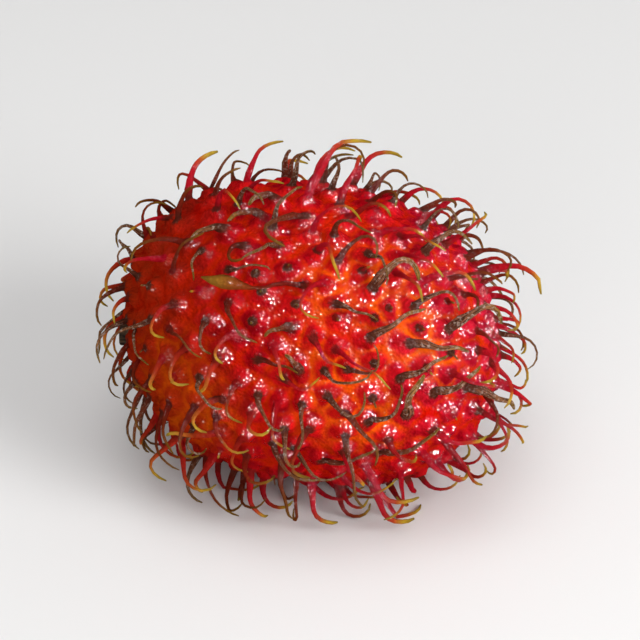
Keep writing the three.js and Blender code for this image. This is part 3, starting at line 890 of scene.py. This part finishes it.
def skin_material():
    material = bpy.data.materials.new("wet_red_skin")
    material.use_nodes = True
    tree = material.node_tree
    shader = tree.nodes["Principled BSDF"]

    climb = attribute(tree, "climb")
    hollow = attribute(tree, "hollow")
    dryness = attribute(tree, "dryness")
    tone = attribute(tree, "tone")
    grain = attribute(tree, "grain", "Vector")
    place = add_node(tree, "ShaderNodeTexCoord").outputs["Object"]
    from_foot = product(tree, split(tree, grain)["Z"], -1)
    on_spine = spread(tree, from_foot, SPINE_LIMITS)
    dried = spread(tree, dryness, DRIED_LIMITS)

    rind = rind_colour(tree, place, hollow)
    spine = spine_colour(tree, place, grain, climb, dryness, dried)
    colour = blend_colours(tree, on_spine, rind, spine)
    # Painted shade: rind and spines darker towards the table.
    colour = shaded(tree, colour, spread(tree, split(tree, place)["Z"], PAINTED_SHADE_RISE, PAINTED_SHADE_LOW))
    root = dried_and_shaded_root(tree, grain, from_foot, climb, dryness, tone)
    # The dark root: partly dried tissue, partly painted shadow where the spine meets the rind.
    colour = blend_colours(tree, root, colour, ROOT_BROWN_AND_SHADOW)
    tree.links.new(colour, shader.inputs["Base Color"])

    normal = fine_relief(tree, place, grain, from_foot)
    tree.links.new(normal, shader.inputs["Normal"])
    tree.links.new(normal, shader.inputs["Coat Normal"])

    dull = calculate(tree, "MAXIMUM", product(tree, dried, on_spine), root)
    tree.links.new(spread(tree, dull, (0, 1), *ROUGHNESSES), shader.inputs["Roughness"])
    juice = juice_cover(tree, place, hollow, on_spine, dull)
    tree.links.new(juice, shader.inputs["Coat Weight"])
    shader.inputs["Specular IOR Level"].default_value = 0.0
    shader.inputs["Coat Roughness"].default_value = JUICE_ROUGHNESS
    shader.inputs["Coat IOR"].default_value = JUICE_IOR
    return material


fruit_skin.data.materials.append(skin_material())

# ---------------------------------------------------------------------------------------------
# The stalk stub. A short woody end of the stalk, dark and cracked, which stays in the rind where
# the fruit broke from its cluster. It is rooted in the rind and stands just proud of it.

STUB_RADIUS = 1.5 * MM
STUB_STANDS_OUT = 1.1 * MM
STUB_ROOT = 2.5 * MM          # how deep in the rind it starts
STUB_SIDES = 24
STUB_CUTS = 7
STUB_RIM = 0.25 * MM
STUB_HOLLOW = 0.3 * MM        # how deep the broken end has sunk in
STUB_RINGS = 3                # and in how many steps
STUB_RING_WIDTH = STUB_RADIUS / 5
STUB_KNOT_SIZE = 0.8 * MM
STUB_KNOT_HEIGHT = 0.22 * MM
STUB_KNOT_SLANT = 0.3         # below 1, knots swell out to the side more than along the stalk
WOOD_BROWN = ((0.35, 0.012, 0.008, 0.005), (0.68, 0.11, 0.068, 0.036))
WOOD_STRETCH = (0.3, 1, 1)
WOOD_FIBRES = (2600, 3)
WOOD_RELIEF = 0.3 * MM
WOOD_ROUGHNESS = 0.75
WOOD_GLOSS = 0.3

stub = bmesh.new()
stalk_end = Vector(rind_point(STALK_END))
stub_middle = stalk_end + Vector(((STUB_ROOT - STUB_STANDS_OUT) / 2, 0, 0))
bmesh.ops.create_cone(
    stub, cap_ends=True, segments=STUB_SIDES, radius1=STUB_RADIUS, radius2=STUB_RADIUS,
    depth=STUB_STANDS_OUT + STUB_ROOT,
    matrix=Matrix.Translation(stub_middle) @ Matrix.Rotation(-math.pi / 2, 4, "Y"),
)
broken_end = min(stub.faces, key=lambda face: face.calc_center_median().x)
bmesh.ops.bevel(
    stub, geom=broken_end.edges[:], offset=STUB_RIM, offset_type="OFFSET",
    affect="EDGES", segments=2, profile=0.5, material=-1,
)
for _ in range(STUB_RINGS):
    broken_end = min(stub.faces, key=lambda face: face.calc_center_median().x)
    bmesh.ops.inset_region(
        stub, faces=[broken_end], thickness=STUB_RING_WIDTH, depth=-STUB_HOLLOW / STUB_RINGS,
    )
long_edges = [
    edge for edge in stub.edges if abs(edge.verts[0].co.x - edge.verts[1].co.x) > STUB_ROOT
]
bmesh.ops.subdivide_edges(stub, edges=long_edges, cuts=STUB_CUTS, use_grid_fill=True)
for vert in stub.verts:
    outwards = vert.co - stub_middle
    outwards.x *= STUB_KNOT_SLANT
    vert.co += outwards.normalized() * STUB_KNOT_HEIGHT * noise.noise(vert.co / STUB_KNOT_SIZE)
for face in stub.faces:
    face.smooth = True
stub_mesh = bpy.data.meshes.new("stub")
stub.to_mesh(stub_mesh)
stub.free()
stalk_stub = bpy.data.objects.new("stalk_stub", stub_mesh)
bpy.context.scene.collection.objects.link(stalk_stub)
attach(stalk_stub, "root")
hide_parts("rambutan")


def stub_material():
    material = bpy.data.materials.new("dark_wood")
    material.use_nodes = True
    tree = material.node_tree
    shader = tree.nodes["Principled BSDF"]
    place = add_node(tree, "ShaderNodeTexCoord").outputs["Object"]
    fibres = noise_value(tree, stretched(tree, place, WOOD_STRETCH), *WOOD_FIBRES)
    tree.links.new(ramp(tree, fibres, WOOD_BROWN), shader.inputs["Base Color"])
    sockets = {"Height": fibres, "Strength": 1.0, "Distance": WOOD_RELIEF}
    bump = add_node(tree, "ShaderNodeBump", sockets)
    tree.links.new(bump.outputs["Normal"], shader.inputs["Normal"])
    shader.inputs["Roughness"].default_value = WOOD_ROUGHNESS
    shader.inputs["Specular IOR Level"].default_value = WOOD_GLOSS
    return material


stalk_stub.data.materials.append(stub_material())

# ---------------------------------------------------------------------------------------------
# The table top and the light. A plain pale surface, in a bright room, under large soft lights.
# The fruit mirrors only one small light from the upper right, so that it glints in fine points.

TABLE_HALF_WIDTH = 3.0        # metres
TABLE_COLOUR = (0.78, 0.775, 0.77, 1)
TABLE_ROUGHNESS = 0.6
ROOM_COLOUR = (1, 1, 1, 1)
ROOM_BRIGHTNESS = 0.42

table_shape = bmesh.new()
bmesh.ops.create_grid(table_shape, x_segments=1, y_segments=1, size=TABLE_HALF_WIDTH)
table_mesh = bpy.data.meshes.new("table_top")
table_shape.to_mesh(table_mesh)
table_shape.free()
table_top = bpy.data.objects.new("table_top", table_mesh)
bpy.context.scene.collection.objects.link(table_top)
table_top.visible_glossy = False
table_material = bpy.data.materials.new("pale_table")
table_material.use_nodes = True
table_shader = table_material.node_tree.nodes["Principled BSDF"]
table_shader.inputs["Base Color"].default_value = TABLE_COLOUR
table_shader.inputs["Roughness"].default_value = TABLE_ROUGHNESS
table_top.data.materials.append(table_material)

room = bpy.data.worlds.new("studio")
room.use_nodes = True
room_light = room.node_tree.nodes["Background"]
room_light.inputs["Color"].default_value = ROOM_COLOUR
room_light.inputs["Strength"].default_value = ROOM_BRIGHTNESS
room.cycles_visibility.glossy = False
bpy.context.scene.world = room

middle = (cad_box[0] + cad_box[1]) / 2


def soft_light(name, place, size, power, diffuse=True, glossy=True):
    """A round light that faces the fruit."""
    light = bpy.data.lights.new(name, "AREA")
    light.shape = "DISK"
    light.size = size
    light.energy = power
    lamp = bpy.data.objects.new(name, light)
    lamp.location = place
    lamp.visible_diffuse = diffuse
    lamp.visible_glossy = glossy
    lamp.rotation_euler = (middle - Vector(place)).to_track_quat("-Z", "Y").to_euler()
    bpy.context.scene.collection.objects.link(lamp)


soft_light("key_light", (0.40, -0.30, 0.30), size=0.35, power=2.7, glossy=False)
soft_light("glint_light", (0.36, -0.27, 0.27), size=0.2, power=12.0, diffuse=False)
soft_light("top_light", (-0.1, -0.1, 0.8), size=0.7, power=2.4, glossy=False)
soft_light("fill_light", (-0.25, -0.7, 0.3), size=0.5, power=1.3, glossy=False)

# ---------------------------------------------------------------------------------------------
# The camera. A long lens from the front, looking down on the fruit at 35 degrees.

CAMERA_ELEVATION = math.radians(35)
CAMERA_DISTANCE = 550 * MM
VIEW_WIDTH = 81 * MM          # how much the view takes in from side to side, at the fruit
SENSOR_WIDTH = 36.0           # in millimetres, as the focal length is
AIM_RIGHT = 0.25 * MM         # from the middle of the fruit's box
AIM_UP = -1.3 * MM

camera_data = bpy.data.cameras.new("camera")
camera_data.sensor_width = SENSOR_WIDTH
camera_data.lens = SENSOR_WIDTH * CAMERA_DISTANCE / VIEW_WIDTH
camera = bpy.data.objects.new("camera", camera_data)
towards = Vector((0, -math.cos(CAMERA_ELEVATION), math.sin(CAMERA_ELEVATION)))
upwards = Vector((0, math.sin(CAMERA_ELEVATION), math.cos(CAMERA_ELEVATION)))
aim = middle + Vector((AIM_RIGHT, 0, 0)) + upwards * AIM_UP
camera.location = aim + towards * CAMERA_DISTANCE
camera.rotation_euler = (math.pi / 2 - CAMERA_ELEVATION, 0, 0)
bpy.context.scene.collection.objects.link(camera)
bpy.context.scene.camera = camera
bpy.context.scene.view_settings.view_transform = "Standard"
